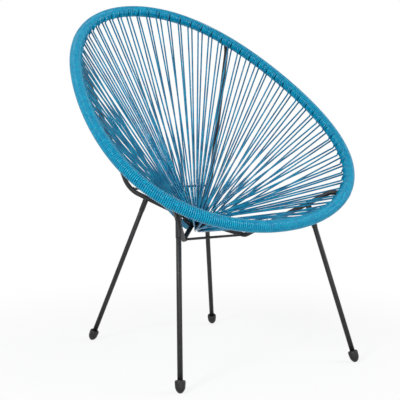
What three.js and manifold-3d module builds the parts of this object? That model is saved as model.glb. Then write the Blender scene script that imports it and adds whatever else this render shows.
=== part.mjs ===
// Acapulco chair: a pear-shaped rim bound all round with plastic cord, a bucket seat of straight
// cords strung from the rim to a small ring under the seat, four bent struts that join the ring
// to the rim, two thin braces and four plugged-in legs with rubber feet.
// Millimetres, +Z up. The front of the chair is -Y and the sitter's left hand is at +X.
// The origin lies on the floor under the middle of the chair.
import * as THREE from 'three';
import Module from 'manifold-3d';
import { mergeVertices } from 'three/addons/utils/BufferGeometryUtils.js';

const wasm = await Module();
wasm.setup();

// Rim: a closed steel tube, seen from the side as one long curve that rises to the back
const rim_half_width = 343.6;
const rim_half_length = 395;
const rim_taper_share = -0.158;
const rim_fullness_share = 0.0804;
const rim_middle_height = 600.4;
const rim_middle_back = -9.2;
const rim_pitch = THREE.MathUtils.degToRad(40.46);
const rim_pitch_change = THREE.MathUtils.degToRad(3.85);
const rim_pitch_bow = THREE.MathUtils.degToRad(8.83);
const rim_tube_diameter = 19;

// Cord: binding round the rim and strands down to the ring
const cord_diameter = 4.3;
const pair_spacing = 9;
const station_count = 72;
const panel_count = 12;

// Ring under the seat, tipped up at the back
const ring_height = 315;
const ring_back = 30.4;
const ring_tilt = THREE.MathUtils.degToRad(20);
const ring_diameter = 54;
const ring_bar_diameter = 10;
const packed_length = 28;

// Struts: rods from the rim down to the ring
const rod_diameter = 11.5;
const rear_strut_rim_share = 0.1071;
const rear_strut_ring_angle = THREE.MathUtils.degToRad(60);
const rear_top_bend_from_rim = new THREE.Vector3(14.7, 15.3, -27.2);
const rear_top_bend_radius = 25;
const rear_low_bend_from_ring = new THREE.Vector3(120, 121.7, 74.7);
const rear_low_bend_radius = 68;
const front_strut_rim_share = 0.389;
const front_strut_ring_angle = THREE.MathUtils.degToRad(-42);
const front_top_bend_from_rim = new THREE.Vector3(-22, 28, -0.9);
const front_top_bend_radius = 15;
const front_low_bend_lip_share = 0.26;
const front_low_bend_from_cords = new THREE.Vector3(87.1, 0, -36.8);
const front_low_bend_radius = 15;
const brace_diameter = 6;
const rear_brace_bend_share = 0.5;
const front_brace_bend_share = 0.5;

// Legs, the sockets that they plug into, their set screws and feet
const leg_diameter = 11.8;
const leg_wall = 1.8;
const spigot_diameter = 10.2;
const rear_foot = new THREE.Vector2(181.2, 235.5);
const front_foot = new THREE.Vector2(236.7, -287.5);
const rear_leg_share = 0.31;
const front_leg_share = 0.755;
const front_leg_offset = 6.9;
const front_socket_drop = 5;
const socket_diameter = 13.4;
const rear_socket_depth = 28;
const front_socket_depth = 51;
const socket_floor = 2;
const screw_diameter = 4;
const foot_diameter = 24;
const foot_length = 28;
const foot_point_length = 15;
const foot_lip = 2;
const foot_flat_depth = 1;

// Clearances, and one overrun for every cut
const seam = 0.3;
const strand_gap = 0.4;
const overrun = 20;

// Facets
const rim_sides = 8;
const rod_sides = 10;
const brace_sides = 8;
const bend_steps = 5;
const socket_steps = 12;
const hole_steps = 6;
const foot_steps = 16;
const foot_point_steps = 5;
const ring_steps = 20;
const panel_rim_steps = 5;
const packed_arc_steps = 4;
const profile_steps = 24;

const up = new THREE.Vector3(0, 0, 1);

const steel = () => new THREE.MeshStandardMaterial({ color: '#2b2b2d', roughness: 0.5, metalness: 0.35 });
const zinc = () => new THREE.MeshStandardMaterial({ color: '#3a3a3d', roughness: 0.35, metalness: 0.8 });
const rubber = () => new THREE.MeshStandardMaterial({ color: '#232325', roughness: 0.8, metalness: 0 });
const plastic = () => new THREE.MeshStandardMaterial({ color: '#1686b4', roughness: 0.35, metalness: 0 });

// A closed mesh as a solid for joining and cutting
function solid(geometry) {
  const plain = geometry.clone();
  plain.deleteAttribute('normal');
  plain.deleteAttribute('uv');
  const merged = mergeVertices(plain);
  const at = merged.attributes.position.array;
  const index = [];
  let volume = 0;
  for (let i = 0; i < merged.index.count; i += 3) {
    const face = [0, 1, 2].map((k) => merged.index.getX(i + k));
    if (new Set(face).size < face.length) continue;
    const [a, b, c] = face.map((k) => new THREE.Vector3().fromArray(at, 3 * k));
    index.push(...face);
    volume += a.dot(b.cross(c));
  }
  if (volume < 0) index.reverse();
  const mesh = new wasm.Mesh({
    numProp: 3,
    vertProperties: Float32Array.from(at),
    triVerts: Uint32Array.from(index),
  });
  return new wasm.Manifold(mesh);
}

function geometryOf(body) {
  const mesh = body.getMesh();
  const geometry = new THREE.BufferGeometry();
  geometry.setAttribute('position', new THREE.BufferAttribute(mesh.vertProperties, 3));
  geometry.setIndex(new THREE.BufferAttribute(mesh.triVerts, 1));
  const faceted = geometry.toNonIndexed();
  faceted.computeVertexNormals();
  return faceted;
}

// Skins a row of outlines into one closed solid; a loop joins the last outline to the first
function skin(outlines, cap_triangles) {
  const count = outlines[0].length;
  const rows = outlines.length;
  const is_loop = cap_triangles === null;
  const index = [];
  for (let row = 0; row < (is_loop ? rows : rows - 1); row += 1) {
    const next = (row + 1) % rows;
    for (let k = 0; k < count; k += 1) {
      const right = (k + 1) % count;
      index.push(row * count + k, next * count + k, next * count + right);
      index.push(row * count + k, next * count + right, row * count + right);
    }
  }
  if (!is_loop) {
    const last = (rows - 1) * count;
    for (const [a, b, c] of cap_triangles) index.push(a, b, c, last + a, last + c, last + b);
  }
  const geometry = new THREE.BufferGeometry();
  const points = outlines.flat().flatMap((point) => point.toArray());
  geometry.setAttribute('position', new THREE.Float32BufferAttribute(points, 3));
  geometry.setIndex(index);
  return solid(geometry);
}

function fan(count) {
  return Array.from({ length: count - 2 }, (_, k) => [0, k + 1, k + 2]);
}

// The rim's centre line; share 0 is the top of the back and 0.5 the front lip
class RimLine extends THREE.Curve {
  constructor() {
    super();
    this.arcLengthDivisions = 720;
  }

  getPoint(share, target = new THREE.Vector3()) {
    const turn = 2 * Math.PI * share;
    const end = -Math.cos(turn);
    const step = end / profile_steps;
    let back = rim_middle_back;
    let height = rim_middle_height;
    for (let k = 0; k < profile_steps; k += 1) {
      const along = (k + 0.5) * step;
      const slope = rim_pitch + rim_pitch_change * along + rim_pitch_bow * (along * along - 1 / 3);
      back -= rim_half_length * step * Math.cos(slope);
      height -= rim_half_length * step * Math.sin(slope);
    }
    const fullness = 1 + rim_taper_share * Math.cos(turn) + rim_fullness_share * Math.cos(2 * turn);
    return target.set(rim_half_width * Math.sin(turn) * fullness, back, height);
  }
}

const rim_line = new RimLine();
const rim_length = rim_line.getLength();
const ring_centre = new THREE.Vector3(0, ring_back, ring_height);
const lip_share = 1 / 2;
const ring_across = new THREE.Vector3(1, 0, 0);
const ring_rearward = new THREE.Vector3(0, Math.cos(ring_tilt), Math.sin(ring_tilt));
const ring_axis = new THREE.Vector3(0, -Math.sin(ring_tilt), Math.cos(ring_tilt));

const rim_tube_radius = rim_tube_diameter / 2;
const ring_bar_radius = ring_bar_diameter / 2;
const ring_radius = ring_diameter / 2;
const rod_radius = rod_diameter / 2;
const leg_radius = leg_diameter / 2;
const cord_radius = cord_diameter / 2;

function wrapped(share) {
  return share - Math.floor(share);
}

// Centre, run and the two cross directions of the rim at a share of its length
function rimFrame(share) {
  const centre = rim_line.getPointAt(wrapped(share));
  const run = rim_line.getTangentAt(wrapped(share));
  const inward = ring_centre.clone().sub(centre);
  inward.addScaledVector(run, -inward.dot(run)).normalize();
  return { centre, inward, outward_down: run.clone().cross(inward) };
}

function rimOutline(share, radius) {
  const { centre, inward, outward_down } = rimFrame(share);
  return circle(centre, inward, outward_down, radius, rim_sides);
}

function ringFrame(angle) {
  const outward = ring_across.clone().multiplyScalar(Math.cos(angle));
  outward.addScaledVector(ring_rearward, Math.sin(angle));
  return { centre: ring_centre.clone().addScaledVector(outward, ring_radius), outward };
}

function circle(centre, first, second, radius, sides) {
  return Array.from({ length: sides }, (_, k) => {
    const angle = (2 * Math.PI * (k + 0.5)) / sides;
    const point = centre.clone().addScaledVector(first, radius * Math.cos(angle));
    return point.addScaledVector(second, radius * Math.sin(angle));
  });
}

function rimTube(radius) {
  const steps = panel_rim_steps * panel_count;
  const outlines = Array.from({ length: steps }, (_, k) => rimOutline(k / steps, radius));
  return skin(outlines, null);
}

function ringBar(radius) {
  const outlines = Array.from({ length: ring_steps }, (_, k) => {
    const { centre, outward } = ringFrame((2 * Math.PI * k) / ring_steps);
    return circle(centre, outward, ring_axis, radius, rim_sides);
  });
  return skin(outlines, null);
}

// A rod's route: straight runs with a round bend at each inner corner. Its stops are given to the
// extrusion as they are, so that the steps lie in the bends.
class BentRoute extends THREE.Curve {
  constructor(corners, radii) {
    super();
    this.stops = [corners[0]];
    this.headings = [corners[1].clone().sub(corners[0]).normalize()];
    for (let k = 1; k < corners.length - 1; k += 1) this.addBend(corners.slice(k - 1, k + 2), radii[k - 1]);
    const last = corners.length - 1;
    this.stops.push(corners[last]);
    this.headings.push(corners[last].clone().sub(corners[last - 1]).normalize());
  }

  addBend([from, corner, to], radius) {
    const before = corner.clone().sub(from).normalize();
    const after = to.clone().sub(corner).normalize();
    const angle = before.angleTo(after);
    const start = corner.clone().addScaledVector(before, -radius * Math.tan(angle / 2));
    const inner = after.clone().addScaledVector(before, -Math.cos(angle)).normalize();
    for (let step = 0; step <= bend_steps; step += 1) {
      const turn = (angle * step) / bend_steps;
      const stop = start.clone().addScaledVector(before, radius * Math.sin(turn));
      this.stops.push(stop.addScaledVector(inner, radius * (1 - Math.cos(turn))));
      const heading = before.clone().multiplyScalar(Math.cos(turn));
      this.headings.push(heading.addScaledVector(inner, Math.sin(turn)));
    }
  }

  getPointAt(share) {
    return this.stops[Math.round(share * (this.stops.length - 1))].clone();
  }

  getTangentAt(share, target = new THREE.Vector3()) {
    return target.copy(this.headings[Math.round(share * (this.headings.length - 1))]);
  }
}

function rod(route, radius, sides) {
  const outline = Array.from({ length: sides }, (_, k) => {
    const angle = (2 * Math.PI * k) / sides;
    return new THREE.Vector2(radius * Math.cos(angle), radius * Math.sin(angle));
  });
  const options = { steps: route.stops.length - 1, extrudePath: route, bevelEnabled: false };
  return solid(new THREE.ExtrudeGeometry(new THREE.Shape(outline), options));
}

// Places a shape made along +Z so that it starts at a point and runs in a direction
function placed(geometry, start, direction) {
  const turn = new THREE.Quaternion().setFromUnitVectors(up, direction);
  return geometry.applyQuaternion(turn).translate(start.x, start.y, start.z);
}

function cylinder(start, direction, radius, length, sides) {
  const shape = new THREE.CylinderGeometry(radius, radius, length, sides);
  shape.rotateX(Math.PI / 2).translate(0, 0, length / 2);
  return solid(placed(shape, start, direction));
}

function lathe(profile, start, direction, steps) {
  const points = profile.map(([radius, height]) => new THREE.Vector2(radius, height));
  const shape = new THREE.LatheGeometry(points, steps);
  shape.rotateX(Math.PI / 2);
  return solid(placed(shape, start, direction));
}

function mirrored(point, side) {
  return new THREE.Vector3(point.x * side, point.y, point.z);
}

// Struts: side is +1 on the sitter's left and -1 on the right
function rimPoint(share, side) {
  return mirrored(rim_line.getPointAt(share), side);
}

const rear_top_bend = rimPoint(rear_strut_rim_share, 1).add(rear_top_bend_from_rim);
const rear_low_bend = ring_centre.clone().add(rear_low_bend_from_ring);
const front_top_bend = rimPoint(front_strut_rim_share, 1).add(front_top_bend_from_rim);
// The front low bend hangs below the cords, part of the way from the ring to the front lip
const front_low_bend = ring_centre.clone().lerp(rimPoint(lip_share, 1), front_low_bend_lip_share);
front_low_bend.add(front_low_bend_from_cords);

function rearRoute(side) {
  const corners = [
    rimPoint(rear_strut_rim_share, side),
    mirrored(rear_top_bend, side),
    mirrored(rear_low_bend, side),
    mirrored(ringFrame(rear_strut_ring_angle).centre, side),
  ];
  return new BentRoute(corners, [rear_top_bend_radius, rear_low_bend_radius]);
}

function frontRoute(side) {
  const corners = [
    rimPoint(front_strut_rim_share, side),
    mirrored(front_top_bend, side),
    mirrored(front_low_bend, side),
    mirrored(ringFrame(front_strut_ring_angle).centre, side),
  ];
  return new BentRoute(corners, [front_top_bend_radius, front_low_bend_radius]);
}

const sides = [[1, 'left'], [-1, 'right']];
const rim_cut = rimTube(rim_tube_radius + seam);
const ring_cut = ringBar(ring_bar_radius + seam);
const nodes = [];

function add(name, body, material) {
  nodes.push([name, body, material]);
}

add('rim_tube', rimTube(rim_tube_radius), steel());
add('seat_ring', ringBar(ring_bar_radius), steel());

const strut_cuts = [];
for (const [side, word] of sides) {
  for (const [place, route] of [['rear', rearRoute(side)], ['front', frontRoute(side)]]) {
    const strut = rod(route, rod_radius, rod_sides).subtract(rim_cut).subtract(ring_cut);
    add(`${place}_strut_${word}`, strut, steel());
    strut_cuts.push({ place, side, cut: rod(route, rod_radius + seam, rod_sides) });
  }
}

function strutCut(place, side) {
  return strut_cuts.find((one) => one.place === place && one.side === side).cut;
}

// Braces run straight across between the same place on the two struts of a pair
function brace(place, route_of, stop_index) {
  const ends = sides.map(([side]) => route_of(side).stops[stop_index]);
  const bar = rod(new BentRoute(ends, []), brace_diameter / 2, brace_sides);
  return sides.reduce((rest, [side]) => rest.subtract(strutCut(place, side)), bar);
}

const braceStop = (bend_share) => 2 + bend_steps + Math.round(bend_share * bend_steps);
add('rear_brace', brace('rear', rearRoute, braceStop(rear_brace_bend_share)), steel());
add('front_brace', brace('front', frontRoute, braceStop(front_brace_bend_share)), steel());

// The axis that a leg, its socket and its foot share, from the foot's widest place to the strut.
// A front leg stands a little beside its strut, on the side of the chair's middle.
function legAxis(place, side) {
  const is_rear = place === 'rear';
  const to = is_rear ? ringFrame(rear_strut_ring_angle).centre : front_top_bend;
  const seat = is_rear ? rear_low_bend.clone() : front_low_bend.clone();
  seat.lerp(to, is_rear ? rear_leg_share : front_leg_share);
  const spot = is_rear ? rear_foot : front_foot;
  const foot = new THREE.Vector3(spot.x, spot.y, 0);
  if (!is_rear) {
    const beside = seat.clone().sub(foot).cross(to.clone().sub(front_low_bend)).normalize();
    seat.addScaledVector(beside, -front_leg_offset);
  }
  const lean = seat.clone().sub(foot).normalize();
  const half = foot_diameter / 2;
  const drop = Math.hypot(half * Math.sin(lean.angleTo(up)), foot_point_length * lean.z);
  foot.z = drop - foot_flat_depth;
  const direction = seat.clone().sub(foot).normalize();
  return { foot: mirrored(foot, side), seat: mirrored(seat, side), direction: mirrored(direction, side) };
}

// Socket: a slim sleeve under the strut, bored from below for the leg's thinner end and cut to
// fit the strut. A set screw on the side that faces the chair's middle holds the leg.
function legParts(place, side) {
  const { foot, seat, direction } = legAxis(place, side);
  const socket_depth = place === 'rear' ? rear_socket_depth : front_socket_depth;
  const socket_radius = socket_diameter / 2;
  const spigot_radius = spigot_diameter / 2;
  const screw_radius = screw_diameter / 2;
  const seat_height = socket_depth + socket_floor + rod_radius + seam;
  const socket_length = place === 'rear' ? seat_height : seat_height - front_socket_drop;
  const mouth = seat.clone().addScaledVector(direction, -seat_height);
  const bore_start = mouth.clone().addScaledVector(direction, -overrun);
  const screw_centre = mouth.clone().addScaledVector(direction, socket_depth / 2);
  const towards_middle = direction.clone().multiplyScalar(direction.z).sub(up).normalize();
  const hole = cylinder(screw_centre, towards_middle, screw_radius + seam, overrun, hole_steps);

  const socket = cylinder(mouth, direction, socket_radius, socket_length, socket_steps)
    .subtract(cylinder(bore_start, direction, spigot_radius + seam, overrun + socket_depth, socket_steps))
    .subtract(strutCut(place, side))
    .subtract(hole);

  const leg_start = foot.clone().addScaledVector(direction, seam);
  const shoulder = mouth.distanceTo(leg_start) - seam;
  const leg_length = shoulder + socket_depth;
  const inner = leg_radius - leg_wall;
  const tube = [
    [inner, 0],
    [leg_radius, 0],
    [leg_radius, shoulder],
    [spigot_radius, shoulder],
    [spigot_radius, leg_length],
    [inner, leg_length],
    [inner, 0],
  ];
  const leg = lathe(tube, leg_start, direction, socket_steps).subtract(hole);

  const screw_start = screw_centre.clone().addScaledVector(towards_middle, inner);
  const screw = cylinder(screw_start, towards_middle, screw_radius, socket_radius - inner, hole_steps);
  return { socket, leg, screw, foot: footCap(foot, direction) };
}

// Foot: a rubber acorn pushed over the leg's end, cut flat where it stands on the floor
function footCap(centre, direction) {
  const half = foot_diameter / 2;
  const top = foot_length - foot_point_length;
  const bore = leg_radius + seam;
  const profile = [[0, -foot_point_length]];
  for (let k = 1; k <= foot_point_steps; k += 1) {
    const turn = (Math.PI / 2) * (k / foot_point_steps);
    profile.push([half * Math.sin(turn), -foot_point_length * Math.cos(turn)]);
  }
  profile.push([half, top - foot_lip]);
  profile.push([half - foot_lip / 2, top]);
  profile.push([half - foot_lip, top]);
  profile.push([bore + foot_lip / 2, top - foot_lip / 2]);
  profile.push([bore, top - foot_lip / 2]);
  profile.push([bore, 0]);
  profile.push([0, 0]);
  const cap = lathe(profile, centre, direction, foot_steps);
  const slab = new THREE.BoxGeometry(2 * foot_length, 2 * foot_length, 2 * foot_length);
  return cap.subtract(solid(slab.translate(centre.x, centre.y, -foot_length)));
}

for (const place of ['rear', 'front']) {
  for (const [side, word] of sides) {
    const parts = legParts(place, side);
    add(`${place}_leg_${word}`, parts.leg, steel());
    add(`${place}_leg_socket_${word}`, parts.socket, steel());
    add(`${place}_leg_screw_${word}`, parts.screw, zinc());
    add(`${place}_foot_${word}`, parts.foot, rubber());
  }
}

// Point where a straight line from a target touches a circle, on the side that is asked for
function tangentPoint(centre, first, second, radius, target, side) {
  const away = target.clone().sub(centre);
  const [a, b] = [away.dot(first), away.dot(second)];
  const angle = Math.atan2(b, a) + side * Math.acos(radius / Math.hypot(a, b));
  const point = centre.clone().addScaledVector(first, radius * Math.cos(angle));
  return point.addScaledVector(second, radius * Math.sin(angle));
}

function ringAngle(share) {
  return Math.PI / 2 - 2 * Math.PI * share;
}

const strut_angles = [rear_strut_ring_angle, front_strut_ring_angle];
const beside_angle = Math.asin((rod_radius + cord_radius) / (ring_radius + ring_bar_radius + cord_diameter));

function isBesideStrut(share) {
  const angle = ringAngle(share);
  const folded = Math.atan2(Math.sin(angle), Math.abs(Math.cos(angle)));
  return strut_angles.some((one) => Math.abs(folded - one) < beside_angle);
}

// The binding: a sleeve of tight turns round the rim tube, one length for each panel
const binding_radius = rim_tube_radius + seam + cord_diameter;

function bindingLength(panel, radius, inset, overlap) {
  const outlines = [];
  for (let k = -overlap; k <= panel_rim_steps + overlap; k += 1) {
    let share = (panel + k / panel_rim_steps) / panel_count;
    if (k === 0) share += inset;
    if (k === panel_rim_steps) share -= inset;
    outlines.push(rimOutline(share, radius));
  }
  return skin(outlines, fan(rim_sides));
}

// The flat of the binding that faces the ring, where the strands end
function bindingFace(share) {
  const rim_steps = panel_rim_steps * panel_count;
  const step = Math.floor(share * rim_steps);
  const along = share * rim_steps - step;
  const ends = [step, step + 1].map((k) => rimFrame(k / rim_steps));
  const height = binding_radius * Math.cos(Math.PI / rim_sides) + strand_gap;
  const [from, to] = ends.map(({ centre, inward }) => centre.clone().addScaledVector(inward, height));
  const run = to.clone().sub(from).normalize();
  const inward = ends[0].inward.clone().lerp(ends[1].inward, along);
  inward.addScaledVector(run, -inward.dot(run)).normalize();
  return { point: from.lerp(to, along), inward };
}

// The straight line that a cord follows from the binding to where it touches the ring's bar
function cordLine(share, is_over) {
  const rim = rimFrame(share);
  const ring = ringFrame(ringAngle(share));
  const reach = ring_bar_radius + seam + cord_radius;
  const top = rim.centre.clone().addScaledVector(rim.inward, rim_tube_radius + seam + cord_radius);
  const bottom = tangentPoint(ring.centre, ring.outward, ring_axis, reach, top, is_over ? 1 : -1);
  return { bottom, run: top.clone().sub(bottom).normalize(), ring };
}

// Outline of the packed cords at the ring: a layer over it and a layer under it, joined in the
// ring's hole. Beside a strut two layers lie over it and next to nothing under.
function packedOutline(share, is_beside) {
  const over = cordLine(share, true);
  const under = cordLine(share, false);
  const { centre, outward } = over.ring;
  const angleOf = (point) => {
    const arm = point.clone().sub(centre);
    return Math.atan2(arm.dot(ring_axis), arm.dot(outward));
  };
  const start = angleOf(over.bottom);
  const sweep = 2 * Math.PI + angleOf(under.bottom) - start;
  const least = (ring_bar_radius + seam) / Math.cos(sweep / packed_arc_steps / 2);
  const layer = (reachAt) => {
    const arc = Array.from({ length: packed_arc_steps + 1 }, (_, k) => {
      const along = k / packed_arc_steps;
      const angle = start + sweep * along;
      const point = centre.clone().addScaledVector(outward, reachAt(along) * Math.cos(angle));
      return point.addScaledVector(ring_axis, reachAt(along) * Math.sin(angle));
    });
    const first = arc[0].clone().addScaledVector(over.run, packed_length);
    const under_length = is_beside ? cord_radius : packed_length;
    return [first, ...arc, arc[packed_arc_steps].clone().addScaledVector(under.run, under_length)];
  };
  const inner = layer(() => least);
  const over_layers = (along) => (is_beside ? 2 - along : 1);
  const outer = layer((along) => least + cord_diameter * (over_layers(along) + Math.sin(Math.PI * along)));
  const middle = inner[0].clone().lerp(outer[0], is_beside ? 1 / 2 : 1);
  return { inner, outer, middle };
}

// A strand: a square within the cord's round section, drawn out of four corners of the packed
// cords and cut to the flat of the binding
function strandEnd(corners, share, lift) {
  const { point, inward } = bindingFace(share);
  const [low_first, low_next, high_next, high_first] = corners;
  const base = corners.reduce((sum, corner) => sum.add(corner), new THREE.Vector3()).divideScalar(4);
  const direction = point.clone().sub(base).normalize();
  const across = low_next.clone().add(high_next).sub(low_first).sub(high_first);
  across.addScaledVector(direction, -across.dot(direction)).normalize();
  const rise = high_first.clone().add(high_next).sub(low_first).sub(low_next);
  rise.addScaledVector(direction, -rise.dot(direction));
  rise.addScaledVector(across, -rise.dot(across)).normalize();
  const half = cord_radius * Math.SQRT1_2;
  return [[-1, -1], [1, -1], [1, 1], [-1, 1]].map(([side, level]) => {
    const corner = point.clone().addScaledVector(across, side * half);
    corner.addScaledVector(rise, level * half + lift);
    const past = corner.clone().sub(point).dot(inward) / direction.dot(inward);
    return corner.addScaledVector(direction, -past);
  });
}

// One panel of the seat: the packed cords of its stations and their strands, as one closed skin
function cordPanel(panel) {
  const count = station_count / panel_count;
  const first = panel / panel_count;
  const hole_radius = ring_radius - ring_bar_radius - seam - cord_diameter;
  const inset = seam / 2 / (2 * Math.PI * hole_radius);
  const pair_half = (pair_spacing / 2 / rim_length) * (first < 1 / 2 ? 1 : -1);
  const corners = [];
  const quad = (a, b, c, d) => corners.push(a, b, c, a, c, d);
  const strand = (base, share, lift) => {
    const end = strandEnd(base, share, lift);
    for (let k = 0; k < 4; k += 1) quad(base[k], base[(k + 1) % 4], end[(k + 1) % 4], end[k]);
    quad(...end);
  };
  const isBeside = (k) => isBesideStrut(first + (k + 0.5) / station_count);
  const outlines = Array.from({ length: count + 1 }, (_, k) => {
    const end_inset = k === 0 ? inset : k === count ? -inset : 0;
    return packedOutline(first + k / station_count + end_inset, isBeside(k - 1) || isBeside(k));
  });

  for (let k = 0; k < count; k += 1) {
    const [one, next] = [outlines[k], outlines[k + 1]];
    const last = one.outer.length - 1;
    for (let i = 0; i < last; i += 1) {
      quad(one.outer[i], next.outer[i], next.outer[i + 1], one.outer[i + 1]);
      quad(one.inner[i + 1], next.inner[i + 1], next.inner[i], one.inner[i]);
    }
    const over_base = [one.inner[0], next.inner[0], next.middle, one.middle];
    const upper_base = [one.middle, next.middle, next.outer[0], one.outer[0]];
    const under_base = [one.outer[last], next.outer[last], next.inner[last], one.inner[last]];
    const share = first + (k + 0.5) / station_count;
    if (isBeside(k)) {
      strand(over_base, share + pair_half, -cord_radius);
      strand(upper_base, share - pair_half, cord_radius);
      quad(...under_base);
    } else {
      strand(over_base, share - pair_half, 0);
      quad(...upper_base);
      strand(under_base, share + pair_half, 0);
    }
  }

  for (const [{ inner, outer, middle }, is_first] of [[outlines[0], true], [outlines[count], false]]) {
    const faces = [[middle, outer[0], outer[1]], [middle, outer[1], inner[1]], [middle, inner[1], inner[0]]];
    for (let i = 1; i + 1 < outer.length; i += 1) {
      faces.push([outer[i], outer[i + 1], inner[i + 1]], [outer[i], inner[i + 1], inner[i]]);
    }
    for (const face of faces) corners.push(...(is_first ? face : face.reverse()));
  }
  const geometry = new THREE.BufferGeometry();
  const points = corners.flatMap((corner) => corner.toArray());
  geometry.setAttribute('position', new THREE.Float32BufferAttribute(points, 3));
  return solid(geometry);
}

for (let panel = 0; panel < panel_count; panel += 1) {
  const number = String(panel + 1).padStart(2, '0');
  const bore = bindingLength(panel, rim_tube_radius + seam, 0, 1);
  let binding = bindingLength(panel, binding_radius, seam / 2 / rim_length, 0).subtract(bore);
  let cords = cordPanel(panel);
  for (const { cut } of strut_cuts) {
    binding = binding.subtract(cut);
    cords = cords.subtract(cut);
  }
  add(`rim_binding_${number}`, binding, plastic());
  add(`seat_cord_${number}`, cords, plastic());
}

const model = new THREE.Group();
for (const [name, body, material] of nodes) {
  const mesh = new THREE.Mesh(geometryOf(body), material);
  mesh.name = name;
  model.add(mesh);
}

export default model;
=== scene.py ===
"""Acapulco chair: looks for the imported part, in metres, in the part's own frame."""

import math

import bpy
import numpy as np
from mathutils import Matrix, Vector

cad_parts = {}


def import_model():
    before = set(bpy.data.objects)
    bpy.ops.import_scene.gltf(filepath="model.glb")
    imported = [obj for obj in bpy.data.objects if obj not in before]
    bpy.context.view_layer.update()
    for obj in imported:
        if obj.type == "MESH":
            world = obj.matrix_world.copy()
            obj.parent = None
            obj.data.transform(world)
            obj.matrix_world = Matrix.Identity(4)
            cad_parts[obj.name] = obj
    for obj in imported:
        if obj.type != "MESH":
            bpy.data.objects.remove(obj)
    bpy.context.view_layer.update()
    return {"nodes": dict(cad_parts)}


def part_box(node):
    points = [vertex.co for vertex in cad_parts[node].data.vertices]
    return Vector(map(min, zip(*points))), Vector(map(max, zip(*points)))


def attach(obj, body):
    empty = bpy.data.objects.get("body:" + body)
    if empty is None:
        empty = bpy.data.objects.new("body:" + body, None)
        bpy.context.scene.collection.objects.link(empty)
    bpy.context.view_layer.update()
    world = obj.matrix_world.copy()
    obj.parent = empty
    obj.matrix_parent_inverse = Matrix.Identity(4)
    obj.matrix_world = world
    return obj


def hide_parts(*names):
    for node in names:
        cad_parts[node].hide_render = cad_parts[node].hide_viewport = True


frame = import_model()

# Rim line
RIM_HALF_WIDTH = 0.3436
RIM_HALF_LENGTH = 0.395
RIM_TAPER_SHARE = -0.158
RIM_FULLNESS_SHARE = 0.0804
RIM_MIDDLE_HEIGHT = 0.6004
RIM_MIDDLE_BACK = -0.0092
RIM_PITCH = math.radians(40.46)
RIM_PITCH_CHANGE = math.radians(3.85)
RIM_PITCH_BOW = math.radians(8.83)
RIM_PITCH_STEPS = 24
RIM_SAMPLES = 4000
RIM_TUBE_RADIUS = 0.0095
RIM_TUBE_STEPS = 240

# Cord bound round the rim
CORD_RADIUS = 0.00215
CORD_SIDES = 8
BINDING_RADIUS = 0.0141
STATIONS = 72
PANELS = 12
STATION_TURNS = 7
TURN_SAMPLES = 16
TICK_GAP = 0.0038
TICK_ANGLE = math.radians(-25)
TICK_SHARPNESS = 3
TICK_STATION_SHARE = 0.2
STRUT_BUMP = 0.0022
STRUT_BUMP_LENGTH = 0.009
STRUT_BUMP_ANGLE = math.radians(60)

# Strands: a wave is a rate per station and a phase, in radians
STRAND_RADIUS = 0.00205
PAIR_SPACING = 0.009
PAIR_VARIATION = 0.0035
PAIR_WAVES = ((1.7, 0.0), (0.31, 1.0))
TUCK_ANGLE = math.radians(80)
# Each stop is a share of the tuck's angle and a height over the binding, in strand radii
TUCK_STOPS = ((0.0, 1.6), (0.12, 0.9), (0.3, 0.6), (0.6, 0.5), (0.85, 0.1), (1.0, -1.0))
LOOP_LAYERS = 3
LAYER_RISE = 1.7
LOOP_STEPS = 10
TAIL_ANGLE = math.radians(100)
TAIL_STEPS = 6

# Ring under the seat
RING_CENTRE = np.array((0.0, 0.0304, 0.315))
RING_TILT = math.radians(20)
RING_RADIUS = 0.027
RING_BAR_RADIUS = 0.005
RING_STEPS = 64
RING_ACROSS = np.array((1.0, 0.0, 0.0))
RING_REARWARD = np.array((0.0, math.cos(RING_TILT), math.sin(RING_TILT)))
RING_AXIS = np.array((0.0, -math.sin(RING_TILT), math.cos(RING_TILT)))

# Struts and braces: a bead's stops are a radius and a distance along the brace
ROD_RADIUS = 0.00575
ROD_SIDES = 20
BAR_SIDES = 16
BRACE_RADIUS = 0.003
BRACE_SIDES = 14
BEND_STEPS = 14
REAR_RIM_SHARE = 0.1071
REAR_RING_ANGLE = math.radians(60)
REAR_TOP_BEND_FROM_RIM = np.array((0.0147, 0.0153, -0.0272))
REAR_LOW_BEND_FROM_RING = np.array((0.120, 0.1217, 0.0747))
REAR_BEND_RADII = (0.025, 0.068)
FRONT_RIM_SHARE = 0.389
FRONT_RING_ANGLE = math.radians(-42)
FRONT_TOP_BEND_FROM_RIM = np.array((-0.022, 0.028, -0.0009))
FRONT_LOW_BEND_LIP_SHARE = 0.26
FRONT_LOW_BEND_FROM_CORDS = np.array((0.0871, 0.0, -0.0368))
FRONT_BEND_RADII = (0.015, 0.015)
WELD_BEAD = ((0.0005, 0.004), (0.0052, 0.0045), (0.0050, 0.0060), (0.0040, 0.0072), (BRACE_RADIUS, 0.0082))

# Legs and sockets: a profile's stops are a radius and a distance along the leg
REAR_FOOT = (0.1812, 0.2355)
FRONT_FOOT = (0.2367, -0.2875)
REAR_LEG_SHARE = 0.31
FRONT_LEG_SHARE = 0.755
FRONT_LEG_OFFSET = 0.0069
LEG_SIDES = 24
LEG_RADIUS = 0.0059
LEG_BORE_RADIUS = 0.004
LEG_START = 0.001
LEG_BEVEL = 0.0004
SPIGOT_RADIUS = 0.0051
SPIGOT_LENGTH = 0.02
SOCKET_RADIUS = 0.0067
SOCKET_MOUTH = ((0.0054, 0.0004), (0.0062, 0.0), (SOCKET_RADIUS, 0.0007))
SOCKET_TOP_RADIUS = 0.0058
SOCKET_TOP_TAPER = 0.003
SOCKET_LENGTHS = {"rear": 0.03605, "front": 0.05905}
SOCKET_DROPS = {"rear": 0.0, "front": 0.005}

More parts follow.
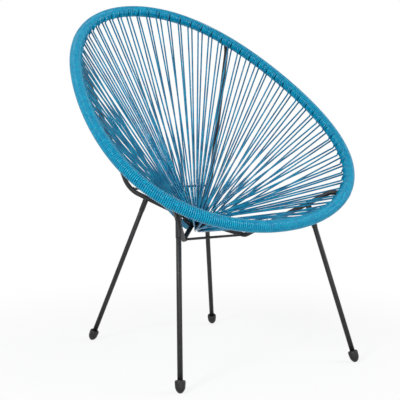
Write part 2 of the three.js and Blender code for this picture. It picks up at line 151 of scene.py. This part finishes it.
# Feet
FOOT_SIDES = 32
FOOT_RADIUS = 0.012
FOOT_FLAT = 0.001
FOOT_WAIST = 0.0110
FOOT_POINT = 0.015
FOOT_POINT_SHARES = (0.0, 0.1, 0.2, 0.35, 0.5, 0.65, 0.8, 0.9, 1.0)
FOOT_BLUNTNESS = 1.75
FOOT_SHOULDER = ((0.0113, 0.004), (0.0116, 0.0085), (0.0113, 0.0108), (0.0102, 0.0124))
FOOT_GROOVE = ((0.0088, 0.0130), (0.0076, 0.0130), (0.0070, 0.0124), (0.0062, 0.0122), (0.0060, 0.006))

# Colours and light
TONE_RANGE = (0.35, 0.65)
WHITE = (1, 1, 1, 1)
SKY_STRENGTH = 0.48
LAMP_AIM = Vector((0, 0, 0.45))
# Each lamp has a place, a size and a power in watts
LAMPS = {
    "key": ((-2.4, -1.2, 2.0), 0.7, 52),
    "fill": ((2.2, -1.6, 1.5), 1.2, 30),
    "low": ((-0.9, -2.4, 0.12), 0.3, 12),
}

# Floor and camera
FLOOR_SIZE = 12
FLOOR_DROP = 0.0005
FLOOR_COLOUR = (0.9, 0.9, 0.9, 1)
FLOOR_WHITE_SHARE = 0.82
FLOOR_FADE_START = 0.35
FLOOR_FADE_END = 1.1
VIEW_AZIMUTH = math.radians(-32.29)
VIEW_ELEVATION = math.radians(5.02)
VIEW_DISTANCE = 2.279
VIEW_TARGET = Vector((-0.0244, -0.0282, 0.372))
FOCAL_PIXELS = 956.1
PHOTO_PIXELS = 400
SENSOR = 36.0
CLIP_START = 0.05

# Sides of the chair, and directions that a tube's or lathe's circles start from
SIDES = ((1, "left"), (-1, "right"))
UPWARD = (0.0, 0.0, 1.0)
REARWARD = (0.0, 1.0, 0.0)
NEARLY_PARALLEL = 0.1
LATHE_REFERENCE = (0.3, 0.9, 0.1)
LATHE_TIP = 1e-6


def unit(vector):
    return vector / np.linalg.norm(vector)


# Rim line as points at even steps of its length


def rim_curve():
    turn = np.linspace(0, 2 * math.pi, RIM_SAMPLES + 1)
    end = -np.cos(turn)
    height = np.full_like(turn, RIM_MIDDLE_HEIGHT)
    back = np.full_like(turn, RIM_MIDDLE_BACK)
    step = RIM_HALF_LENGTH * end / RIM_PITCH_STEPS
    for k in range(RIM_PITCH_STEPS):
        along = (k + 0.5) / RIM_PITCH_STEPS * end
        slope = RIM_PITCH + RIM_PITCH_CHANGE * along + RIM_PITCH_BOW * (along**2 - 1 / 3)
        back -= step * np.cos(slope)
        height -= step * np.sin(slope)
    fullness = 1 + RIM_TAPER_SHARE * np.cos(turn) + RIM_FULLNESS_SHARE * np.cos(2 * turn)
    points = np.stack([RIM_HALF_WIDTH * np.sin(turn) * fullness, back, height], axis=1)
    lengths = np.concatenate([[0], np.cumsum(np.linalg.norm(np.diff(points, axis=0), axis=1))])
    return points, lengths


RIM_POINTS, RIM_LENGTHS = rim_curve()
RIM_LENGTH = RIM_LENGTHS[-1]


def rim_frames(shares):
    """Centre, run, inward and downward directions of the rim at shares of its length."""
    shares = np.atleast_1d(np.asarray(shares, float))

    def at(share):
        length = (share % 1.0) * RIM_LENGTH
        return np.stack([np.interp(length, RIM_LENGTHS, RIM_POINTS[:, k]) for k in range(3)], axis=1)

    centre = at(shares)
    step = 1 / RIM_SAMPLES
    run = at(shares + step) - at(shares - step)
    run /= np.linalg.norm(run, axis=1, keepdims=True)
    inward = RING_CENTRE - centre
    inward -= run * np.sum(inward * run, axis=1, keepdims=True)
    inward /= np.linalg.norm(inward, axis=1, keepdims=True)
    return centre, run, inward, np.cross(run, inward)


def rim_point(share):
    return rim_frames(share)[0][0]


def ring_frame(angle):
    outward = RING_ACROSS * math.cos(angle) + RING_REARWARD * math.sin(angle)
    return RING_CENTRE + outward * RING_RADIUS, outward


# Mesh helpers


def mesh_object(name, points, faces, material):
    mesh = bpy.data.meshes.new(name)
    mesh.from_pydata([tuple(point) for point in points], [], faces)
    mesh.validate()
    mesh.shade_smooth()
    mesh.materials.append(material)
    piece = bpy.data.objects.new(name, mesh)
    bpy.context.scene.collection.objects.link(piece)
    return piece


def circle(sides, side, other):
    angles = np.linspace(0, 2 * math.pi, sides, endpoint=False)
    return np.outer(np.cos(angles), side) + np.outer(np.sin(angles), other)


def wall(rows, sides, closed=False):
    """Faces between rows of points, with a lid at each end unless the rows close on themselves."""
    faces = []
    for row in range(rows if closed else rows - 1):
        here, there = row * sides, (row + 1) % rows * sides
        for i in range(sides):
            j = (i + 1) % sides
            faces.append((here + i, here + j, there + j, there + i))
    if not closed:
        faces.append(tuple(range(sides))[::-1])
        faces.append(tuple((rows - 1) * sides + i for i in range(sides)))
    return faces


def tube(path, radius, sides, closed=False):
    """Points and faces of a round tube along a path."""
    path = np.asarray(path, float)
    if closed:
        runs = np.roll(path, -1, axis=0) - np.roll(path, 1, axis=0)
    else:
        runs = np.gradient(path, axis=0)
    runs /= np.linalg.norm(runs, axis=1, keepdims=True)
    side = np.cross(runs[0], UPWARD)
    if np.linalg.norm(side) < NEARLY_PARALLEL:
        side = np.cross(runs[0], REARWARD)
    side = unit(side)
    points = []
    for place, run in zip(path, runs):
        side = unit(side - run * np.dot(side, run))
        points.append(place + circle(sides, side, np.cross(run, side)) * radius)
    return np.concatenate(points), wall(len(path), sides, closed)


def lathe(profile, start, direction, sides):
    """A turned shape: profile is (radius, height) pairs along the direction."""
    direction = unit(direction)
    side = unit(np.cross(direction, LATHE_REFERENCE))
    around = circle(sides, side, np.cross(direction, side))
    points = [start + direction * height + around * max(radius, LATHE_TIP) for radius, height in profile]
    return np.concatenate(points), wall(len(profile), sides)


def joined(parts):
    """Several point and face lists as one."""
    points = []
    faces = []
    start = 0
    for part_points, part_faces in parts:
        points.append(part_points)
        faces.extend(tuple(i + start for i in face) for face in part_faces)
        start += len(part_points)
    return np.concatenate(points), faces


def bent(corners, radii):
    """A rod's path: straight runs with round bends at the inner corners."""
    path = [corners[0]]
    for before_corner, corner, after_corner, radius in zip(corners, corners[1:], corners[2:], radii):
        before = unit(corner - before_corner)
        after = unit(after_corner - corner)
        angle = math.acos(np.clip(np.dot(before, after), -1, 1))
        start = corner - before * radius * math.tan(angle / 2)
        inner = unit(after - before * math.cos(angle))
        for step in range(BEND_STEPS + 1):
            turn = angle * step / BEND_STEPS
            point = start + before * radius * math.sin(turn)
            path.append(point + inner * radius * (1 - math.cos(turn)))
    path.append(corners[-1])
    return path


def mirrored(point, side):
    return np.array((point[0] * side, point[1], point[2]))


# Materials


def set_values(node, values):
    for socket, value in values.items():
        node.inputs[socket].default_value = value


def noise(tree, scale, detail):
    place = tree.nodes.new("ShaderNodeTexCoord")
    texture = tree.nodes.new("ShaderNodeTexNoise")
    set_values(texture, {"Scale": scale, "Detail": detail})
    tree.links.new(place.outputs["Object"], texture.inputs["Vector"])
    return texture.outputs["Fac"]


def linear(colour):
    """An sRGB hex colour as linear red, green and blue."""
    shares = [int(colour[k : k + 2], 16) / 255 for k in (1, 3, 5)]
    return [s / 12.92 if s <= 0.04045 else ((s + 0.055) / 1.055) ** 2.4 for s in shares]


def new_material(name):
    material = bpy.data.materials.new(name)
    material.use_nodes = True
    return material, material.node_tree, material.node_tree.nodes["Principled BSDF"]


def two_tone(name, tones, patches, grain, relief, surface):
    """Two tones that drift in patches, under a fine grain. A noise is a scale and its detail."""
    material, tree, shader = new_material(name)
    ramp = tree.nodes.new("ShaderNodeValToRGB")
    for stop, place, tone in zip(ramp.color_ramp.elements, TONE_RANGE, tones):
        stop.position = place
        stop.color = (*linear(tone), 1)
    tree.links.new(noise(tree, *patches), ramp.inputs["Fac"])
    tree.links.new(ramp.outputs["Color"], shader.inputs["Base Color"])
    bump = tree.nodes.new("ShaderNodeBump")
    set_values(bump, relief)
    tree.links.new(noise(tree, *grain), bump.inputs["Height"])
    tree.links.new(bump.outputs["Normal"], shader.inputs["Normal"])
    set_values(shader, surface)
    return material


CORD = two_tone(
    "pvc_cord_bound",
    tones=("#0080a8", "#0096b8"),
    patches=(120, 2),
    grain=(900, 2),
    relief={"Strength": 0.12, "Distance": 0.0002},
    surface={"Roughness": 0.2, "IOR": 1.32},
)
# The strands are the same cord as the binding, given darker tones as painted shade for the shade that
# falls on them in the seat.
STRAND = two_tone(
    "pvc_cord_painted_shade",
    tones=("#006892", "#008eb4"),
    patches=(38, 2),
    grain=(900, 2),
    relief={"Strength": 0.12, "Distance": 0.0002},
    surface={"Roughness": 0.15, "IOR": 1.42},
)
STEEL = two_tone(
    "powder_coat",
    tones=("#141416", "#1f1f22"),
    patches=(140, 4),
    grain=(1500, 3),
    relief={"Strength": 0.25, "Distance": 0.0002},
    surface={"Roughness": 0.46, "IOR": 1.42},
)
RUBBER = two_tone(
    "moulded_rubber",
    tones=("#121213", "#1c1c1e"),
    patches=(220, 5),
    grain=(2400, 3),
    relief={"Strength": 0.3, "Distance": 0.0002},
    surface={"Roughness": 0.5, "IOR": 1.4},
)
PLATED = two_tone(
    "plated_steel",
    tones=("#2c2c2f", "#3b3b3f"),
    patches=(300, 3),
    grain=(1800, 2),
    relief={"Strength": 0.15, "Distance": 0.0001},
    surface={"Roughness": 0.35, "Metallic": 0.85},
)


def keep(name, shape, material, *nodes):
    """A finished piece that rides on the chair and stands for its CAD nodes."""
    piece = mesh_object(name, *shape, material)
    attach(piece, "root")
    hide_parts(*nodes)


# Rim tube, and the cord bound round it in tight turns


def rim_tube():
    shares = np.arange(RIM_TUBE_STEPS) / RIM_TUBE_STEPS
    return tube(rim_frames(shares)[0], RIM_TUBE_RADIUS, BAR_SIDES, closed=True)


def binding(panel):
    """One panel's turns, opened a little where the strands leave and raised over the struts."""
    turns = STATION_TURNS * STATIONS // PANELS
    phase = np.arange(turns * TURN_SAMPLES + 1) / TURN_SAMPLES
    angle = 2 * math.pi * phase
    station = (phase / STATION_TURNS) % 1 - 0.5
    facing = np.maximum(np.cos(angle - TICK_ANGLE), 0) ** TICK_SHARPNESS
    near = np.exp(-((station / TICK_STATION_SHARE) ** 2))
    parted = np.sign(station) * near * facing * TICK_GAP / 2
    ends = np.minimum(phase, turns - phase).clip(0, 1)
    share = (panel + phase / turns) / PANELS + parted * ends / RIM_LENGTH
    centre, _, inward, down = rim_frames(share)
    folded = np.minimum(share, 1 - share)
    bump = sum(
        np.exp(-(((folded - one) * RIM_LENGTH / STRUT_BUMP_LENGTH) ** 2))
        for one in (REAR_RIM_SHARE, FRONT_RIM_SHARE)
    )
    under = np.maximum(np.cos(angle - STRUT_BUMP_ANGLE), 0)
    reach = (BINDING_RADIUS - CORD_RADIUS + STRUT_BUMP * bump * under)[:, None]
    path = centre + reach * (inward * np.cos(angle)[:, None] + down * np.sin(angle)[:, None])
    return tube(path, CORD_RADIUS, CORD_SIDES)


# Seat strands


def ring_angle(share):
    return math.pi / 2 - 2 * math.pi * share


def beside_strut(share):
    angle = ring_angle(share)
    folded = math.atan2(math.sin(angle), abs(math.cos(angle)))
    reach = RING_RADIUS + RING_BAR_RADIUS + 2 * CORD_RADIUS
    limit = math.asin((ROD_RADIUS + CORD_RADIUS) / reach)
    return min(abs(folded - one) for one in (REAR_RING_ANGLE, FRONT_RING_ANGLE)) < limit


def tangent_angle(centre, outward, reach, target, side):
    """The angle round the ring's bar at which a strand from the target touches it."""
    away = target - centre
    level, height = np.dot(away, outward), np.dot(away, RING_AXIS)
    return math.atan2(height, level) + side * math.acos(reach / math.hypot(level, height))


def ring_arc(centre, outward, reach, angles):
    return [centre + reach * (outward * math.cos(angle) + RING_AXIS * math.sin(angle)) for angle in angles]


def under_strand_end(share):
    """Where the lower strand goes straight in between the binding's turns."""
    centre, _, inward, _ = rim_frames(share)
    return centre[0] + inward[0] * (BINDING_RADIUS - CORD_RADIUS)


def over_strand_end(share, ring_point):
    """The upper strand's last stretch: it lies on the binding's seat side and tucks under a turn."""
    centre, run, inward, down = (part[0] for part in rim_frames(share))
    away = centre - ring_point
    slant = np.dot(away, run) / abs(np.dot(away, inward))
    path = []
    for climbed, lift in TUCK_STOPS:
        angle = -TUCK_ANGLE * climbed
        reach = BINDING_RADIUS + lift * STRAND_RADIUS
        along = -slant * BINDING_RADIUS * angle
        path.append(centre + reach * (inward * math.cos(angle) + down * math.sin(angle)) + run * along)
    return path


def cord_loop(station):
    """One station's cord: over the ring, round its bar in the hole and back out.

    Beside a strut, which is in the way there, each strand ends in a tail round the bar.
    """
    share = (station + 0.5) / STATIONS
    order = 1 if share < 0.5 else -1
    wave = math.prod(math.sin(rate * station + phase) for rate, phase in PAIR_WAVES)
    half = order * (PAIR_SPACING + PAIR_VARIATION * wave) / 2 / RIM_LENGTH
    centre, outward = ring_frame(ring_angle(share))
    reach = RING_BAR_RADIUS + CORD_RADIUS * (1 + LAYER_RISE * (station % LOOP_LAYERS))
    over_end = over_strand_end(share - half, centre)
    under_end = [under_strand_end(share + half)]
    if not beside_strut(share):
        start = tangent_angle(centre, outward, reach, over_end[0], 1)
        stop = tangent_angle(centre, outward, reach, under_end[0], -1) + 2 * math.pi
        arc = ring_arc(centre, outward, reach, np.linspace(start, stop, LOOP_STEPS))
        return tube([*over_end[::-1], *arc, *under_end], STRAND_RADIUS, CORD_SIDES)
    parts = []
    for end, level in ((over_end, reach + 2 * CORD_RADIUS), (under_end, reach)):
        start = tangent_angle(centre, outward, level, end[0], 1)
        arc = ring_arc(centre, outward, level, start + np.linspace(0, TAIL_ANGLE, TAIL_STEPS))
        parts.append(tube([*end[::-1], *arc], STRAND_RADIUS, CORD_SIDES))
    return joined(parts)


for panel in range(PANELS):
    number = f"{panel + 1:02d}"
    keep(f"rim_binding_cord_{number}", binding(panel), CORD, f"rim_binding_{number}")
    stations = range(panel * STATIONS // PANELS, (panel + 1) * STATIONS // PANELS)
    loops = joined([cord_loop(station) for station in stations])
    keep(f"seat_cord_loops_{number}", loops, STRAND, f"seat_cord_{number}")

keep("rim_tube_smooth", rim_tube(), STEEL, "rim_tube")


# Ring, struts and braces


def ring_bar():
    angles = np.linspace(0, 2 * math.pi, RING_STEPS, endpoint=False)
    return tube([ring_frame(angle)[0] for angle in angles], RING_BAR_RADIUS, BAR_SIDES, closed=True)


REAR_TOP_BEND = rim_point(REAR_RIM_SHARE) + REAR_TOP_BEND_FROM_RIM
REAR_LOW_BEND = RING_CENTRE + REAR_LOW_BEND_FROM_RING
FRONT_TOP_BEND = rim_point(FRONT_RIM_SHARE) + FRONT_TOP_BEND_FROM_RIM
FRONT_LOW_BEND = RING_CENTRE + (rim_point(0.5) - RING_CENTRE) * FRONT_LOW_BEND_LIP_SHARE
FRONT_LOW_BEND += FRONT_LOW_BEND_FROM_CORDS


def rear_path(side):
    corners = [rim_point(REAR_RIM_SHARE), REAR_TOP_BEND, REAR_LOW_BEND, ring_frame(REAR_RING_ANGLE)[0]]
    return bent([mirrored(corner, side) for corner in corners], REAR_BEND_RADII)


def front_path(side):
    corners = [rim_point(FRONT_RIM_SHARE), FRONT_TOP_BEND, FRONT_LOW_BEND, ring_frame(FRONT_RING_ANGLE)[0]]
    return bent([mirrored(corner, side) for corner in corners], FRONT_BEND_RADII)


def nearest(path, target):
    return min(path, key=lambda point: np.linalg.norm(point - target))


def brace(path_of, near):
    """A thin rod straight across, with a weld bead at each end."""
    ends = [nearest(path_of(side), mirrored(near, side)) for side, _ in SIDES]
    parts = [tube(ends, BRACE_RADIUS, BRACE_SIDES)]
    for here, there in (ends, ends[::-1]):
        parts.append(lathe(WELD_BEAD, here, there - here, BAR_SIDES))
    return joined(parts)


STRUTS = {"rear": rear_path, "front": front_path}
keep("seat_ring_bar", ring_bar(), STEEL, "seat_ring")
for side, word in SIDES:
    for place, path_of in STRUTS.items():
        rod = tube(path_of(side), ROD_RADIUS, ROD_SIDES)
        keep(f"{place}_strut_rod_{word}", rod, STEEL, f"{place}_strut_{word}")
for place, path_of in STRUTS.items():
    low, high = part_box(f"{place}_brace")
    near = (high.x + ROD_RADIUS, (low.y + high.y) / 2, (low.z + high.z) / 2)
    keep(f"{place}_brace_rod", brace(path_of, near), STEEL, f"{place}_brace")


# Legs, sockets and feet


def leg_axis(place, side):
    """The foot's centre, the seat in the strut and the direction from one to the other."""
    rear = place == "rear"
    start = REAR_LOW_BEND if rear else FRONT_LOW_BEND
    end = ring_frame(REAR_RING_ANGLE)[0] if rear else FRONT_TOP_BEND
    seat = start + (end - start) * (REAR_LEG_SHARE if rear else FRONT_LEG_SHARE)
    foot = np.array((*(REAR_FOOT if rear else FRONT_FOOT), 0.0))
    if not rear:
        seat = seat - unit(np.cross(seat - foot, end - start)) * FRONT_LEG_OFFSET
    lean = unit(seat - foot)
    tilt = math.acos(lean[2])
    foot[2] = math.hypot(FOOT_RADIUS * math.sin(tilt), FOOT_POINT * lean[2]) - FOOT_FLAT
    direction = unit(seat - foot)
    return mirrored(foot, side), mirrored(seat, side), mirrored(direction, side)


def leg_profile(shoulder):
    """Plain tube up to a bevelled shoulder, then the start of its spigot."""
    return (
        (LEG_BORE_RADIUS, LEG_START),
        (LEG_RADIUS, LEG_START),
        (LEG_RADIUS, shoulder - 2 * LEG_BEVEL),
        (SPIGOT_RADIUS + LEG_BEVEL, shoulder - LEG_BEVEL / 2),
        (SPIGOT_RADIUS, shoulder + SPIGOT_LENGTH),
    )


def socket_profile(top):
    """Rolled mouth, plain sleeve and a top that tapers into the weld."""
    return (*SOCKET_MOUTH, (SOCKET_RADIUS, top - SOCKET_TOP_TAPER), (SOCKET_TOP_RADIUS, top))


def foot_profile():
    """Blunt point, side that widens upwards, rounded shoulder with a groove round the leg."""
    point = []
    for share in FOOT_POINT_SHARES:
        radius = FOOT_WAIST * (1 - (1 - share) ** FOOT_BLUNTNESS) ** (1 / FOOT_BLUNTNESS)
        point.append((radius, -FOOT_POINT * (1 - share)))
    return (*point, *FOOT_SHOULDER, *FOOT_GROOVE)


def foot_cap(foot, direction):
    """The foot cut flat on the floor."""
    points, faces = lathe(foot_profile(), foot, direction, FOOT_SIDES)
    points[:, 2] = np.maximum(points[:, 2], 0)
    return points, faces


for place, length in SOCKET_LENGTHS.items():
    for side, word in SIDES:
        foot, seat, direction = leg_axis(place, side)
        mouth = seat - direction * length
        leg = lathe(leg_profile(np.linalg.norm(mouth - foot)), foot, direction, LEG_SIDES)
        keep(f"{place}_leg_tube_{word}", leg, STEEL, f"{place}_leg_{word}")
        socket = lathe(socket_profile(length - SOCKET_DROPS[place]), mouth, direction, LEG_SIDES)
        keep(f"{place}_socket_sleeve_{word}", socket, STEEL, f"{place}_leg_socket_{word}")
        keep(f"{place}_foot_cap_{word}", foot_cap(foot, direction), RUBBER, f"{place}_foot_{word}")
        screw = frame["nodes"][f"{place}_leg_screw_{word}"]
        screw.data.materials.clear()
        screw.data.materials.append(PLATED)


# Floor, light and camera


def combined(tree, operation, first, second):
    node = tree.nodes.new("ShaderNodeMath")
    node.operation = operation
    tree.links.new(first, node.inputs[0])
    tree.links.new(second, node.inputs[1])
    return node.outputs[0]


def seeing_rays(tree):
    """One for camera, glossy and transmission rays, which see plain white, and nought for others."""
    path = tree.nodes.new("ShaderNodeLightPath")
    seen = path.outputs["Is Camera Ray"]
    for name in ("Is Glossy Ray", "Is Transmission Ray"):
        seen = combined(tree, "MAXIMUM", seen, path.outputs[name])
    return seen


def mixed(tree, share, first, second, output):
    """Two shaders mixed by a share into a material's or world's output."""
    mix = tree.nodes.new("ShaderNodeMixShader")
    tree.links.new(share, mix.inputs["Fac"])
    tree.links.new(first, mix.inputs[1])
    tree.links.new(second, mix.inputs[2])
    tree.links.new(mix.outputs["Shader"], tree.nodes[output].inputs["Surface"])


def fade_outward(tree):
    """A share that rises from near the chair to all white at a distance from it."""
    place = tree.nodes.new("ShaderNodeTexCoord")
    length = tree.nodes.new("ShaderNodeVectorMath")
    length.operation = "LENGTH"
    tree.links.new(place.outputs["Object"], length.inputs[0])
    fade = tree.nodes.new("ShaderNodeMapRange")
    fade.interpolation_type = "SMOOTHSTEP"
    set_values(fade, {"From Min": FLOOR_FADE_START, "From Max": FLOOR_FADE_END})
    set_values(fade, {"To Min": FLOOR_WHITE_SHARE, "To Max": 1.0})
    tree.links.new(length.outputs["Value"], fade.inputs["Value"])
    return fade.outputs["Result"]


def floor():
    bpy.ops.mesh.primitive_plane_add(size=FLOOR_SIZE, location=(0, 0, -FLOOR_DROP))
    plane = bpy.context.object
    plane.name = "floor"
    material, tree, shader = new_material("floor_white")
    set_values(shader, {"Base Color": FLOOR_COLOUR, "Roughness": 0.9, "Specular IOR Level": 0.1})
    glow = tree.nodes.new("ShaderNodeEmission")
    set_values(glow, {"Strength": 1.0})
    white = combined(tree, "MULTIPLY", seeing_rays(tree), fade_outward(tree))
    mixed(tree, white, shader.outputs["BSDF"], glow.outputs["Emission"], "Material Output")
    plane.data.materials.append(material)


def world():
    sky = bpy.data.worlds.new("studio")
    bpy.context.scene.world = sky
    sky.use_nodes = True
    tree = sky.node_tree
    light = tree.nodes["Background"]
    set_values(light, {"Color": WHITE, "Strength": SKY_STRENGTH})
    backdrop = tree.nodes.new("ShaderNodeBackground")
    set_values(backdrop, {"Color": WHITE})
    shaders = (node.outputs["Background"] for node in (light, backdrop))
    mixed(tree, seeing_rays(tree), *shaders, "World Output")


def lamp(name, place, size, power):
    light = bpy.data.lights.new(name, "AREA")
    light.shape = "SQUARE"
    light.size = size
    light.energy = power
    piece = bpy.data.objects.new(name, light)
    piece.location = place
    piece.rotation_euler = (LAMP_AIM - Vector(place)).to_track_quat("-Z", "Y").to_euler()
    bpy.context.scene.collection.objects.link(piece)


def camera():
    level = math.cos(VIEW_ELEVATION)
    sine, cosine = math.sin(VIEW_AZIMUTH), math.cos(VIEW_AZIMUTH)
    back = Vector((sine * level, -cosine * level, math.sin(VIEW_ELEVATION)))
    right = Vector((cosine, sine, 0))
    lens = bpy.data.cameras.new("camera")
    lens.sensor_width = SENSOR
    lens.lens = FOCAL_PIXELS / PHOTO_PIXELS * SENSOR
    lens.clip_start = CLIP_START
    piece = bpy.data.objects.new("camera", lens)
    turn = Matrix((right, back.cross(right), back)).transposed().to_4x4()
    piece.matrix_world = Matrix.Translation(VIEW_TARGET + back * VIEW_DISTANCE) @ turn
    bpy.context.scene.collection.objects.link(piece)
    bpy.context.scene.camera = piece


floor()
world()
for name, (place, size, power) in LAMPS.items():
    lamp(name, place, size, power)
camera()
bpy.context.scene.view_settings.view_transform = "Standard"
